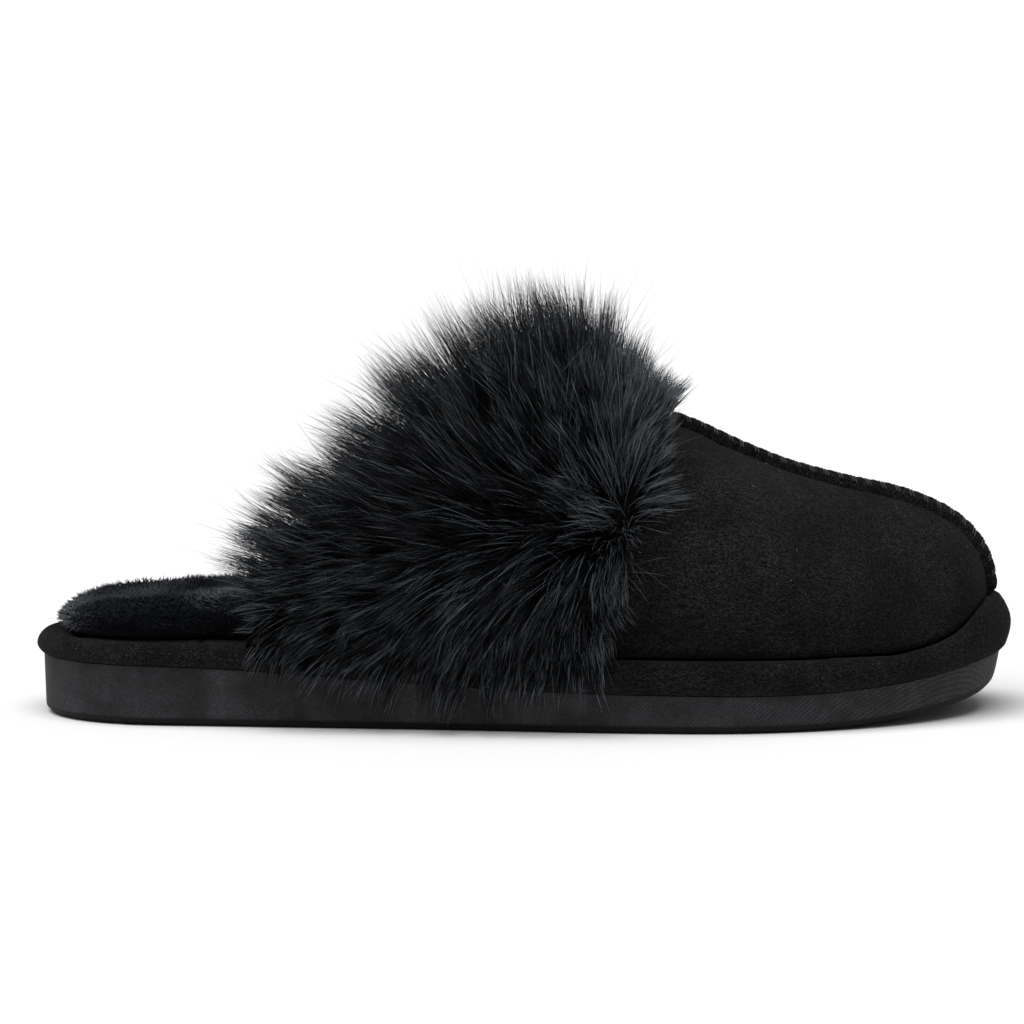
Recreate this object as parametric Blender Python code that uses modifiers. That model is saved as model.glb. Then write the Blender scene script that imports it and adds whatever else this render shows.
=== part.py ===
"""A house slipper with a deep fur cuff, made for the right foot.

Six pieces, each an object of its own: the moulded outsole, the suede-covered platform on it, the plush
insole, the hollow suede upper, its raised centre seam, and the fur cuff that wraps the collar.
Lengths are in metres and +Z is up. +X runs from heel to toe and -Y is the outer side of the foot. The
origin is on the floor, halfway along the shoe.
"""

import math
from collections import namedtuple

import bmesh
import bpy
from mathutils import Vector

MM = 0.001

# Clearances between pieces that touch
GAP = 0.3 * MM
CUFF_GAP = 0.45 * MM
FOOT_GAP = 0.75 * MM

# Plan of the shoe, at the edge of the platform
SHOE_LENGTH = 266.0 * MM
HEEL_WIDTH = 67.0 * MM
WAIST_WIDTH = 76.0 * MM
BALL_WIDTH = 97.0 * MM
WAIST_SHIFT = 4.0 * MM
TOE_SWING = 7.0 * MM
HEEL_ROUND = 36.0 * MM
TOE_ROUND = 86.0 * MM
TOE_FULLNESS = 2.3

# Heights of the outsole and the platform
SOLE_AT_HEEL = 16.4 * MM
SOLE_AT_BALL = 10.3 * MM
TOE_SPRING = 7.6 * MM
PLATFORM_AT_HEEL = 5.8 * MM
PLATFORM_AT_BALL = 8.8 * MM
PLATFORM_AT_TOE = 15.2 * MM

# How far each piece stands inside the edge of the platform
SOLE_SETBACK = 1.8 * MM
TREAD_SETBACK = 5.6 * MM
FEATHER_SETBACK = 5.4 * MM
PLATFORM_ROLL = 3.2 * MM
SOLE_EDGE_RADIUS = 3.4 * MM
TOE_TUCK = 2.2 * MM

# Grooves under the outsole
GROOVE_WIDTH = 2.6 * MM
GROOVE_DEPTH = 1.6 * MM
GROOVE_PITCH = 10.0 * MM
GROOVE_RIM = 9.0 * MM
FOREFOOT_PAD = 60.0 * MM
HEEL_PAD = 40.0 * MM
FOREFOOT_PAD_AT = 0.655
HEEL_PAD_AT = 0.17

# Plush insole
INSOLE_SETBACK = 5.0 * MM
INSOLE_AT_HEEL = 7.4 * MM
INSOLE_AT_WAIST = 11.6 * MM
INSOLE_SHOULDER = 5.5 * MM
INSOLE_EASE = 1.6 * MM

# Upper
UPPER_WALL = 2.6 * MM
COLLAR_END_AT = 0.233
THROAT_AT = 0.549
TOE_PEAK_AT = 0.846
THROAT_HEIGHT = 88.0 * MM
TOE_BOX_HEIGHT = 60.6 * MM
ARCH_FULLNESS = 2.25
COLLAR_BOW = 0.55

# Raised centre seam
SEAM_WIDTH = 4.0 * MM
SEAM_HEIGHT = 3.2 * MM

# Fur cuff, and the locks that stand on it
CUFF_DEPTH = 13.0 * MM
CUFF_FRONT_DEPTH = 4.6 * MM
CUFF_OVERHANG = 10.0 * MM
LOCK_LENGTH = 17.0 * MM
COLLAR_LOCK_LENGTH = 29.0 * MM

# How finely the curved pieces are divided
OUTLINE_STEPS = 36
RIBS = 24
CLIMBS = 10
CUFF_RIBS = 8

OUTER, INNER = -1, 1

PlanRow = namedtuple("PlanRow", "along width shift")
PLAN = (
    PlanRow(0.00, HEEL_WIDTH, 0.0),
    PlanRow(0.12, HEEL_WIDTH, 0.0),
    PlanRow(0.26, 0.6 * HEEL_WIDTH + 0.4 * WAIST_WIDTH, -0.5 * WAIST_SHIFT),
    PlanRow(0.42, WAIST_WIDTH, -WAIST_SHIFT),
    PlanRow(0.56, 0.4 * WAIST_WIDTH + 0.6 * BALL_WIDTH, -0.7 * WAIST_SHIFT),
    PlanRow(0.69, BALL_WIDTH, -0.2 * WAIST_SHIFT),
    PlanRow(0.80, BALL_WIDTH, 0.25 * TOE_SWING),
    PlanRow(0.91, 0.97 * BALL_WIDTH, 0.70 * TOE_SWING),
    PlanRow(1.00, 0.94 * BALL_WIDTH, TOE_SWING),
)

# Side profile, each column a share: wedge of the extra sole under the heel, spring of the toe spring,
# body of the platform's growth from heel to ball, bumper of its growth from ball to toe tip, where it
# thins a little before it rises, pad of the insole's growth from heel to waist.
ProfileRow = namedtuple("ProfileRow", "along wedge spring body bumper pad")
PROFILE = (
    ProfileRow(0.000, 1.00, 0.00, 0.00, 0.00, 0.00),
    ProfileRow(0.060, 1.00, 0.00, 0.00, 0.00, 0.15),
    ProfileRow(0.130, 0.99, 0.00, 0.02, 0.00, 0.52),
    ProfileRow(0.200, 0.90, 0.00, 0.25, 0.00, 0.88),
    ProfileRow(0.265, 0.75, 0.00, 0.45, 0.00, 1.00),
    ProfileRow(0.330, 0.55, 0.00, 0.60, 0.00, 1.00),
    ProfileRow(0.500, 0.18, 0.00, 0.88, 0.00, 0.85),
    ProfileRow(0.700, 0.02, 0.00, 1.00, 0.00, 0.70),
    ProfileRow(0.780, 0.00, 0.01, 1.00, -0.03, 0.65),
    ProfileRow(0.840, 0.00, 0.10, 1.00, -0.12, 0.60),
    ProfileRow(0.890, 0.00, 0.25, 1.00, -0.26, 0.55),
    ProfileRow(0.945, 0.00, 0.54, 1.00, 0.04, 0.50),
    ProfileRow(0.980, 0.00, 0.81, 1.00, 0.88, 0.50),
    ProfileRow(1.000, 0.00, 1.00, 1.00, 1.00, 0.50),
)

# Sections of the platform and the insole, from the lowest level up. Inward is a share of the platform's
# roll or the insole's shoulder, height a share of the piece's own.
SectionRow = namedtuple("SectionRow", "inward height")
PLATFORM_SECTION = (
    SectionRow(0.41, 0.00),
    SectionRow(0.06, 0.22),
    SectionRow(0.00, 0.50),
    SectionRow(0.35, 0.84),
    SectionRow(1.00, 1.00),
)
INSOLE_SECTION = (
    SectionRow(0.25, 0.00),
    SectionRow(0.00, 0.30),
    SectionRow(0.15, 0.62),
    SectionRow(0.55, 0.86),
    SectionRow(1.30, 0.97),
    SectionRow(2.60, 1.00),
)

# Height of the ridge above the toe's peak, from the throat (forward 0) past that peak (forward 1) to the
# toe tip, as a share of the drop between the two.
RidgeRow = namedtuple("RidgeRow", "forward height")
RIDGE = (
    RidgeRow(0.00, 1.000),
    RidgeRow(0.17, 0.865),
    RidgeRow(0.41, 0.630),
    RidgeRow(0.57, 0.415),
    RidgeRow(0.74, 0.213),
    RidgeRow(0.90, 0.080),
    RidgeRow(1.00, 0.010),
    RidgeRow(1.15, -0.055),
    RidgeRow(1.27, -0.085),
    RidgeRow(1.45, -0.095),
)

# Depth of the fur across the band, from the collar (across 0) to its front edge (across 1).
CuffRow = namedtuple("CuffRow", "across depth")
CUFF = (
    CuffRow(0.00, 0.78 * CUFF_DEPTH),
    CuffRow(0.30, CUFF_DEPTH),
    CuffRow(0.65, 0.95 * CUFF_DEPTH),
    CuffRow(1.00, CUFF_FRONT_DEPTH),
)


def value_at(rows, place, column):
    """One column of a table, between its rows: a smooth curve through them."""
    key = rows[0]._fields[0]
    places = [getattr(row, key) for row in rows]
    values = [getattr(row, column) for row in rows]
    place = min(max(place, places[0]), places[-1])
    at = max(i for i in range(len(rows) - 1) if places[i] <= place or i == 0)

    def slope(i):
        low, high = max(i - 1, 0), min(i + 1, len(rows) - 1)
        return (values[high] - values[low]) / (places[high] - places[low])

    span = places[at + 1] - places[at]
    t = (place - places[at]) / span
    start, end = values[at], values[at + 1]
    rise = slope(at) * span
    fall = slope(at + 1) * span
    return (
        start * (2 * t**3 - 3 * t**2 + 1)
        + rise * (t**3 - 2 * t**2 + t)
        + end * (3 * t**2 - 2 * t**3)
        + fall * (t**3 - t**2)
    )


def smooth_step(low, high, value):
    t = min(max((value - low) / (high - low), 0.0), 1.0)
    return t * t * (3 - 2 * t)


def end_rounding(along):
    """Share of the full width that is left near the heel's and the toe's round ends."""
    from_heel = along * SHOE_LENGTH / HEEL_ROUND
    from_toe = (1 - along) * SHOE_LENGTH / TOE_ROUND
    heel = math.sqrt(max(0.0, 1 - (1 - from_heel) ** 2)) if from_heel < 1 else 1.0
    toe = 1.0
    if from_toe < 1:
        toe = max(0.0, 1 - (1 - from_toe) ** TOE_FULLNESS) ** (1 / TOE_FULLNESS)
    return heel * toe


def along_at(turn):
    """Share of the length at a turn round the outline, 0 at the heel and pi at the toe tip."""
    return (1 - math.cos(turn)) / 2


def turn_at(along):
    return math.acos(1 - 2 * along)


def plan_point(turn):
    """Edge of the platform. From 0 to pi it runs up the outer side, and back down the inner side."""
    along = along_at(turn)
    side = OUTER if turn % (2 * math.pi) < math.pi else INNER
    half = value_at(PLAN, along, "width") / 2 * end_rounding(along)
    return Vector(((along - 0.5) * SHOE_LENGTH, value_at(PLAN, along, "shift") + side * half))


def outline_point(turn, setback):
    """The plan's edge, moved inwards square to itself."""
    step = 0.02
    ahead = plan_point(turn + step) - plan_point(turn - step)
    outward = Vector((ahead.y, -ahead.x)).normalized()
    return plan_point(turn) - outward * setback


def share_of(x):
    return x / SHOE_LENGTH + 0.5


def tread_height(along):
    return value_at(PROFILE, along, "spring") * TOE_SPRING


def outsole_top(along):
    wedge = value_at(PROFILE, along, "wedge") * (SOLE_AT_HEEL - SOLE_AT_BALL)
    return tread_height(along) + SOLE_AT_BALL + wedge


def platform_bottom(along):
    return outsole_top(along) + GAP


def platform_top(along):
    body = value_at(PROFILE, along, "body") * (PLATFORM_AT_BALL - PLATFORM_AT_HEEL)
    bumper = value_at(PROFILE, along, "bumper") * (PLATFORM_AT_TOE - PLATFORM_AT_BALL)
    return platform_bottom(along) + PLATFORM_AT_HEEL + body + bumper


def insole_setback(along):
    """The insole reaches the platform's roll at the open heel, and the wall inside the upper."""
    inside = FEATHER_SETBACK + UPPER_WALL + INSOLE_EASE
    enclosed = smooth_step(COLLAR_END_AT - 0.16, COLLAR_END_AT - 0.02, along)
    return INSOLE_SETBACK + (inside - INSOLE_SETBACK) * enclosed


def new_object(name, mesh, material):
    obj = bpy.data.objects.new(name, mesh)
    obj.data.materials.append(material)
    bpy.context.scene.collection.children["house_slipper"].objects.link(obj)
    return obj


def finished_mesh(name, bm):
    bmesh.ops.recalc_face_normals(bm, faces=bm.faces)
    mesh = bpy.data.meshes.new(name)
    bm.to_mesh(mesh)
    bm.free()
    mesh.shade_smooth()
    mesh.set_sharp_from_angle(angle=math.radians(50))
    return mesh


def strip_across(bm, ring):
    """Closes a ring of the outline with strips from side to side, so that it follows the side profile."""
    half = len(ring) // 2
    bm.faces.new((ring[0], ring[1], ring[-1]))
    for i in range(1, half - 1):
        bm.faces.new((ring[i], ring[i + 1], ring[-i - 1], ring[-i]))
    bm.faces.new((ring[half - 1], ring[half], ring[half + 1]))


def slab(name, levels):
    """A closed slab: the outline at each level, from the lowest up. A level gives (setback, height) at a
    share of the length."""
    bm = bmesh.new()
    turns = [math.pi * i / OUTLINE_STEPS for i in range(2 * OUTLINE_STEPS)]
    rings = []
    for level in levels:
        ring = []
        for turn in turns:
            setback, _ = level(along_at(turn))
            place = outline_point(turn, setback)
            _, height = level(share_of(place.x))
            ring.append(bm.verts.new((place.x, place.y, height)))
        rings.append(ring)
    for low, high in zip(rings, rings[1:]):
        for i in range(len(low)):
            after = (i + 1) % len(low)
            bm.faces.new((low[i], low[after], high[after], high[i]))
    strip_across(bm, rings[0])
    strip_across(bm, rings[-1])
    return finished_mesh(name, bm)


def outsole_mesh():
    radius = SOLE_EDGE_RADIUS

    def level(setback, rise):
        def place(along):
            tuck = TOE_TUCK * value_at(PROFILE, along, "spring") * (1 - rise / (2 * radius))
            return setback + tuck, tread_height(along) + rise

        return place

    def top(along):
        return SOLE_SETBACK, outsole_top(along)

    corner = [
        level(TREAD_SETBACK, 0.0),
        level(TREAD_SETBACK - 0.55 * radius, 0.12 * radius),
        level(TREAD_SETBACK - 0.9 * radius, 0.5 * radius),
        level(TREAD_SETBACK - radius, 1.2 * radius),
    ]
    return slab("outsole", corner + [top])


def platform_mesh():
    """A rolled edge, which leans in further above its middle where it is taller."""

    def level(row):
        def place(along):
            low = platform_bottom(along)
            tall = platform_top(along) - low
            lean = max(1.0, tall / PLATFORM_AT_BALL) if row.height > 0.5 else 1.0
            return row.inward * PLATFORM_ROLL * lean, low + tall * row.height

        return place

    return slab("platform", [level(row) for row in PLATFORM_SECTION])


def insole_mesh():
    def level(inward, share):
        def place(along):
            base = platform_top(along) + GAP
            pad = value_at(PROFILE, along, "pad") * (INSOLE_AT_WAIST - INSOLE_AT_HEEL)
            return insole_setback(along) + inward, base + (INSOLE_AT_HEEL + pad) * share

        return place

    return slab("insole", [level(row.inward * INSOLE_SHOULDER, row.height) for row in INSOLE_SECTION])


def add_grooves(outsole):
    """Cuts the grooves across the heel and forefoot pads, inside a rim that keeps the side whole."""
    bm = bmesh.new()
    for middle, pad in ((HEEL_PAD_AT, HEEL_PAD), (FOREFOOT_PAD_AT, FOREFOOT_PAD)):
        count = round(pad / GROOVE_PITCH) + 1
        for i in range(count):
            x = (middle - 0.5) * SHOE_LENGTH + (i - (count - 1) / 2) * GROOVE_PITCH
            turn = turn_at(share_of(x))
            low = outline_point(turn, 0).y + GROOVE_RIM
            high = outline_point(2 * math.pi - turn, 0).y - GROOVE_RIM
            made = bmesh.ops.create_cube(bm, size=1.0)["verts"]
            bmesh.ops.scale(bm, verts=made, vec=(GROOVE_WIDTH, high - low, 2 * GROOVE_DEPTH))
            bmesh.ops.translate(bm, verts=made, vec=(x, (low + high) / 2, 0))
    mesh = bpy.data.meshes.new("grooves")
    bm.to_mesh(mesh)
    bm.free()
    cutter = bpy.data.objects.new("grooves", mesh)
    cutter.hide_render = True
    cutter.display_type = "WIRE"
    bpy.context.scene.collection.children["cutters"].objects.link(cutter)
    cut = outsole.modifiers.new("grooves", "BOOLEAN")
    cut.operation = "DIFFERENCE"
    cut.object = cutter


def ridge_height(x):
    """Height of the ridge at a place along the shoe, level behind the throat."""
    forward = (share_of(x) - THROAT_AT) / (TOE_PEAK_AT - THROAT_AT)
    drop = THROAT_HEIGHT - TOE_BOX_HEIGHT
    return TOE_BOX_HEIGHT + value_at(RIDGE, forward, "height") * drop


def bare_upper_point(rib, climb, side):
    """Outer face of the upper. rib runs from the collar (0) to the toe tip (1), climb from the feather
    line (0) to the ridge (1). Past the toe tip or the ridge it comes down the other side."""
    if climb > 1:
        climb, side = 2 - climb, -side
    if rib > 1:
        rib, side = 2 - rib, -side
    start = turn_at(COLLAR_END_AT)
    turn = start + (math.pi - start) * rib
    foot = outline_point(turn if side == OUTER else 2 * math.pi - turn, FEATHER_SETBACK)
    foot_height = platform_top(share_of(foot.x)) + FOOT_GAP
    ridge_along = THROAT_AT + (TOE_PEAK_AT - THROAT_AT) * rib
    ridge_x = (ridge_along - 0.5) * SHOE_LENGTH
    ridge_y = value_at(PLAN, ridge_along, "shift")
    angle = max(climb, 0.0) * math.pi / 2
    lift = math.sin(angle) ** (2 / ARCH_FULLNESS)
    lean = 1 - max(math.cos(angle), 0.0) ** (2 / ARCH_FULLNESS)
    round_toe = max(rib, 0.0) ** 1.5
    forward = lift ** (1 + COLLAR_BOW * (1 - smooth_step(0.0, CUFF_RIBS / RIBS, rib)))
    x = foot.x + (ridge_x - foot.x) * (forward + (lean - forward) * round_toe)
    y = foot.y + (ridge_y - foot.y) * lean
    return Vector((x, y, foot_height + (ridge_height(x) - foot_height) * lift))


def upper_axes(rib, climb, side):
    """Unit vectors on the upper: towards the toe, up to the ridge, and out of the face."""
    step = 0.01
    low = max(climb - step, 0.0)
    ahead = bare_upper_point(rib + step, climb, side) - bare_upper_point(rib - step, climb, side)
    up = bare_upper_point(rib, climb + step, side) - bare_upper_point(rib, low, side)
    out = ahead.cross(up) * -side
    return ahead.normalized(), up.normalized(), out.normalized()


def upper_point(rib, climb, side, out):
    return bare_upper_point(rib, climb, side) + upper_axes(rib, climb, side)[2] * out


def upper_mesh():
    """The outer face as one sheet, its two sides joined along the ridge and down the toe tip."""
    bm = bmesh.new()
    grids = {}
    for side in (OUTER, INNER):
        grids[side] = [
            [bm.verts.new(bare_upper_point(i / RIBS, k / CLIMBS, side)) for k in range(CLIMBS + 1)]
            for i in range(RIBS + 1)
        ]
        for i in range(RIBS):
            for k in range(CLIMBS):
                grid = grids[side]
                corners = [grid[i][k], grid[i + 1][k], grid[i + 1][k + 1], grid[i][k + 1]]
                bm.faces.new(corners if side == OUTER else corners[::-1])
    bmesh.ops.remove_doubles(bm, verts=bm.verts, dist=0.01 * MM)
    mesh = bpy.data.meshes.new("upper")
    bm.to_mesh(mesh)
    bm.free()
    mesh.shade_smooth()
    return mesh


def add_wall(upper):
    wall = upper.modifiers.new("wall", "SOLIDIFY")
    wall.thickness = UPPER_WALL
    wall.offset = -1


def seam_mesh():
    """The raised seam: one section swept along the ridge and down the toe, on the upper's own stations."""
    first = CUFF_RIBS / RIBS + 0.012
    stations = [(first, 1.0)]
    stations += [(i / RIBS, 1.0) for i in range(CUFF_RIBS + 1, RIBS + 1)]
    stations += [(1.0, k / CLIMBS) for k in range(CLIMBS - 1, 0, -1)]
    stations.append((1.0, 0.02))
    half = SEAM_WIDTH / 2
    section = (
        (-half, GAP),
        (-half, 0.62 * SEAM_HEIGHT),
        (-0.55 * half, 0.94 * SEAM_HEIGHT),
        (0.55 * half, 0.94 * SEAM_HEIGHT),
        (half, 0.62 * SEAM_HEIGHT),
        (half, GAP),
    )
    path = [bare_upper_point(rib, climb, OUTER) for rib, climb in stations]
    bm = bmesh.new()
    rings = []
    for i, centre in enumerate(path):
        ahead = (path[min(i + 1, len(path) - 1)] - path[max(i - 1, 0)]).normalized()
        out = ahead.cross(Vector((0, 1, 0))).normalized()
        across = out.cross(ahead)
        rings.append([bm.verts.new(centre + across * a + out * b) for a, b in section])
    for ring, after in zip(rings, rings[1:]):
        for i in range(len(section)):
            j = (i + 1) % len(section)
            bm.faces.new((ring[i], ring[j], after[j], after[i]))
    bm.faces.new(rings[0])
    bm.faces.new(rings[-1])
    return finished_mesh("centre_seam", bm)


def comb_direction(across, climb, axes):
    """Which way the fur lies: away from a parting near its front edge, and down towards the floor."""
    ahead, up, out = axes
    high = smooth_step(0.50, 1.0, climb)
    low = 1 - smooth_step(0.10, 0.55, climb)
    sweep = 1.3 * (across - 0.60 - 0.30 * high)
    droop = 0.80 * low * (0.2 + 0.8 * smooth_step(0.0, 0.5, across))
    direction = out * (0.75 - 0.30 * low) + ahead * sweep + up * (0.25 * high - droop)
    return direction.normalized()


def lock_length(across, climb, side):
    """Long at the collar and along the bottom, short where the fur ends on top of the upper."""
    uneven = 1 + 0.18 * math.sin(37 * across + 23 * climb + 5 * side)
    rear = 1 - smooth_step(0.0, 0.5, across)
    low = 1 - smooth_step(0.05, 0.35, climb)
    front = smooth_step(0.45, 0.9, across) * smooth_step(0.4, 0.9, climb)
    extra = rear * (1 - low) + 0.5 * low * (1 - rear)
    length = LOCK_LENGTH + (COLLAR_LOCK_LENGTH - LOCK_LENGTH) * extra
    return length * uneven * (1 - 0.5 * front)


def grow_lock(bm, face, direction, length):
    """Draws one face out into a tapered lock that bends over towards its tip."""
    stages = ((0.60, 0.55, 0.0), (0.22, 0.45, 0.22))
    for taper, share, sag in stages:
        face = bmesh.ops.extrude_discrete_faces(bm, faces=[face])["faces"][0]
        middle = face.calc_center_median()
        step = direction * length * share + Vector((0, 0, -1)) * length * sag
        for vert in face.verts:
            vert.co = middle + (vert.co - middle) * taper + step


def cuff_mesh():
    """A deep band over the rear of the upper, turned over the collar, with a lock on each outer facet."""
    bm = bmesh.new()
    climbs = [0.05] + [k / CLIMBS for k in range(1, CLIMBS)]
    stations = [(OUTER, climb) for climb in climbs + [1.0]]
    stations += [(INNER, climb) for climb in climbs[::-1]]
    rings = []
    for side, climb in stations:
        full = 0.55 + 0.45 * smooth_step(0.0, 0.45, climb)
        overhang = CUFF_OVERHANG * (0.5 + 0.5 * smooth_step(0.0, 0.35, climb))
        out = upper_axes(0.0, climb, side)[2]
        rim = bare_upper_point(0.0, climb, side)
        ahead = (bare_upper_point(0.01, climb, side) - rim).normalized()
        inner = [upper_point(i / RIBS, climb, side, CUFF_GAP) for i in range(CUFF_RIBS, -1, -1)]
        turned = [
            rim - ahead * CUFF_GAP + out * CUFF_GAP,
            rim - ahead * CUFF_GAP - out * UPPER_WALL,
            rim - ahead * 0.6 * overhang - out * UPPER_WALL,
            rim - ahead * overhang + out * 0.3 * CUFF_DEPTH * full,
        ]
        outer = []
        for i in range(CUFF_RIBS + 1):
            depth = value_at(CUFF, i / CUFF_RIBS, "depth") * full
            back = ahead * 0.5 * overhang if i == 0 else Vector()
            outer.append(upper_point(i / RIBS, climb, side, depth) - back)
        rings.append([bm.verts.new(point) for point in inner + turned[1:] + outer])
    count = len(rings[0])
    first_outer = count - CUFF_RIBS - 2
    growing = []
    for n in range(len(rings) - 1):
        for i in range(count):
            j = (i + 1) % count
            face = bm.faces.new((rings[n][i], rings[n][j], rings[n + 1][j], rings[n + 1][i]))
            if first_outer <= i < count - 1:
                side, climb = stations[n] if stations[n][0] == OUTER else stations[n + 1]
                growing.append((face, (i - first_outer) / (CUFF_RIBS + 1), climb, side))
    bm.faces.new(rings[0])
    bm.faces.new(rings[-1])
    bmesh.ops.recalc_face_normals(bm, faces=bm.faces)
    for face, across, climb, side in growing:
        axes = upper_axes(across * CUFF_RIBS / RIBS, climb, side)
        direction = comb_direction(across, climb, axes)
        grow_lock(bm, face, direction, lock_length(across, climb, side))
    return finished_mesh("fur_cuff", bm)


def material(name, colour, roughness):
    made = bpy.data.materials.new(name)
    made.use_nodes = True
    shader = made.node_tree.nodes["Principled BSDF"]
    shader.inputs["Base Color"].default_value = (*colour, 1)
    shader.inputs["Roughness"].default_value = roughness
    shader.inputs["Metallic"].default_value = 0
    return made


def build():
    for obj in list(bpy.data.objects):
        bpy.data.objects.remove(obj)
    for name in ("house_slipper", "cutters"):
        bpy.context.scene.collection.children.link(bpy.data.collections.new(name))
    rubber = material("sole_rubber", (0.028, 0.028, 0.031), 0.75)
    suede = material("black_suede", (0.014, 0.013, 0.012), 0.95)
    plush = material("black_plush", (0.012, 0.014, 0.018), 0.9)
    fur = material("black_fur", (0.007, 0.008, 0.010), 0.6)
    outsole = new_object("outsole", outsole_mesh(), rubber)
    add_grooves(outsole)
    new_object("platform", platform_mesh(), suede)
    new_object("insole", insole_mesh(), plush)
    upper = new_object("upper", upper_mesh(), suede)
    add_wall(upper)
    new_object("centre_seam", seam_mesh(), suede)
    new_object("fur_cuff", cuff_mesh(), fur)


build()
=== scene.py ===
# %% [markdown]
# # Dressing a fur-trimmed house slipper
#
# The solids of this slipper are already built: sole, platform, insole, upper, centre seam and fur cuff.
# This lesson gives each of them the surface that the real shoe has: foamed rubber with a fine twill,
# brushed suede, a hand-sewn seam, plush pile and long glossy fur. Nothing here moves or resizes a solid.

# %% Load the solids
import math

import bmesh
import bpy
import numpy as np
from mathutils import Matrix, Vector
from mathutils.bvhtree import BVHTree
from mathutils.kdtree import KDTree


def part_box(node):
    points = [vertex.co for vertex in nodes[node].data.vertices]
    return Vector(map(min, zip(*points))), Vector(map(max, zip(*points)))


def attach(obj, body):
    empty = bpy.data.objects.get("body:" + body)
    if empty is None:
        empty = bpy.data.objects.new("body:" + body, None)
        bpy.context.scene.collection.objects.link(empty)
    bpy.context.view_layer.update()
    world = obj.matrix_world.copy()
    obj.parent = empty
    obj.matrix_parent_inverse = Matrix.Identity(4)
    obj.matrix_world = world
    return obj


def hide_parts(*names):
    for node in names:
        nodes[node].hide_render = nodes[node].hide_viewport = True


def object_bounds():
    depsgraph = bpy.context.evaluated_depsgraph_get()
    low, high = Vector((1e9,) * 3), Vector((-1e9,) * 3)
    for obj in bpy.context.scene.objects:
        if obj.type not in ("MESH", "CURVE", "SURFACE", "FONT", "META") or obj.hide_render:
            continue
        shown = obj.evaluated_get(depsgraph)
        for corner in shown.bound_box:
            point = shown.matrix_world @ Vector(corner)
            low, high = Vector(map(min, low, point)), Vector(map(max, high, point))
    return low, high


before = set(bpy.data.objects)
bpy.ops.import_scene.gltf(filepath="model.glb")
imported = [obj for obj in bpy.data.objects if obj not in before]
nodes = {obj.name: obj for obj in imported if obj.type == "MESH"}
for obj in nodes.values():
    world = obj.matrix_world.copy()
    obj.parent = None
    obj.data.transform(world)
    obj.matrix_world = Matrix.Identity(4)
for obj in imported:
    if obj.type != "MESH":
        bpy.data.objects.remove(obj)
cad_low, cad_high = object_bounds()
MM = 0.001
print("solids:", ", ".join(sorted(nodes)))
print("size in mm:", [round(side / MM, 1) for side in cad_high - cad_low])

# %% [markdown]
# ## Small helpers
#
# Every piece rides on the shoe's one body and gets its materials when it is made. A material here is always
# the same shader with a handful of nodes in front of it, so one helper makes the shader and another adds
# a node and joins it up. Patterns read Object coordinates in metres, so a grain of 0.8 mm has a scale of
# one over 0.8 mm whatever piece it is on.


# %% Helpers for pieces
def finish_piece(piece, stands_for=()):
    """Rides a finished piece on the body, hides the solids it stands for and prints its triangles."""
    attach(piece, "root")
    if stands_for:
        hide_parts(*stands_for)
    piece.data.calc_loop_triangles()
    print(f"{piece.name}: {len(piece.data.loop_triangles)} triangles")
    return piece


def new_piece(name, mesh, *materials):
    piece = bpy.data.objects.new(name, mesh)
    bpy.context.scene.collection.objects.link(piece)
    for material in materials:
        piece.data.materials.append(material)
    return piece


def mesh_of(name, bm):
    mesh = bpy.data.meshes.new(name)
    bm.to_mesh(mesh)
    bm.free()
    mesh.shade_smooth()
    return mesh


def vectors_of(items, name):
    """One vector of each item of a mesh, as the rows of an array."""
    rows = np.empty(len(items) * 3, dtype=np.float32)
    items.foreach_get(name, rows)
    return rows.reshape(-1, 3).astype(float)


def corners_of(mesh):
    """Places and normals of all corners of a mesh."""
    return vectors_of(mesh.vertices, "co"), vectors_of(mesh.vertex_normals, "vector")


def faces_of(mesh):
    """Middles and normals of all faces of a mesh."""
    return vectors_of(mesh.polygons, "center"), vectors_of(mesh.polygons, "normal")


def set_corners(mesh, places):
    mesh.vertices.foreach_set("co", places.reshape(-1).astype(np.float32))
    mesh.update()


def unit(rows):
    return rows / np.maximum(np.linalg.norm(rows, axis=1), 1e-9)[:, None]


def tree_of_places(places):
    tree = KDTree(len(places))
    for index, place in enumerate(places):
        tree.insert(place, index)
    tree.balance()
    return tree


def nearest_in(tree, places):
    """Index of the nearest place in a tree, and how far off it is, for each place."""
    found = [tree.find(place) for place in places]
    return np.array([near[1] for near in found]), np.array([near[2] for near in found])


def finished_mesh(maker):
    """A new mesh of an object as its modifiers or its bevel leave it."""
    graph = bpy.context.evaluated_depsgraph_get()
    return bpy.data.meshes.new_from_object(maker.evaluated_get(graph))


# %% Helpers for materials
def new_material(name, colour, roughness, **sockets):
    """A shader with its constant values set on its own sockets."""
    material = bpy.data.materials.new(name)
    material.use_nodes = True
    shader = shader_of(material)
    shader.inputs["Base Color"].default_value = (*colour, 1)
    shader.inputs["Roughness"].default_value = roughness
    for socket, value in sockets.items():
        shader.inputs[socket.replace("_", " ")].default_value = value
    return material


def shader_of(material):
    return material.node_tree.nodes["Principled BSDF"]


def set_socket(material, socket, value):
    """Joins a socket to an output, or sets its value."""
    if isinstance(value, bpy.types.NodeSocket):
        material.node_tree.links.new(value, socket)
    elif isinstance(value, tuple) and len(value) == 3 and socket.type == "RGBA":
        socket.default_value = (*value, 1)
    else:
        socket.default_value = value


def add_node(material, kind, **settings):
    """Adds a node; a setting is one of its own properties, a value for a socket, or a link to one."""
    node = material.node_tree.nodes.new("ShaderNode" + kind)
    for name, value in settings.items():
        if hasattr(node, name):
            setattr(node, name, value)
        else:
            set_socket(material, node.inputs[name.replace("_", " ")], value)
    return node


def sum_up(material, operation, first, second, third=None):
    """One arithmetic step between outputs or numbers."""
    node = add_node(material, "Math", operation=operation)
    for socket, value in zip(node.inputs, (first, second, third)):
        if value is not None:
            set_socket(material, socket, value)
    return node.outputs["Value"]


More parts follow.
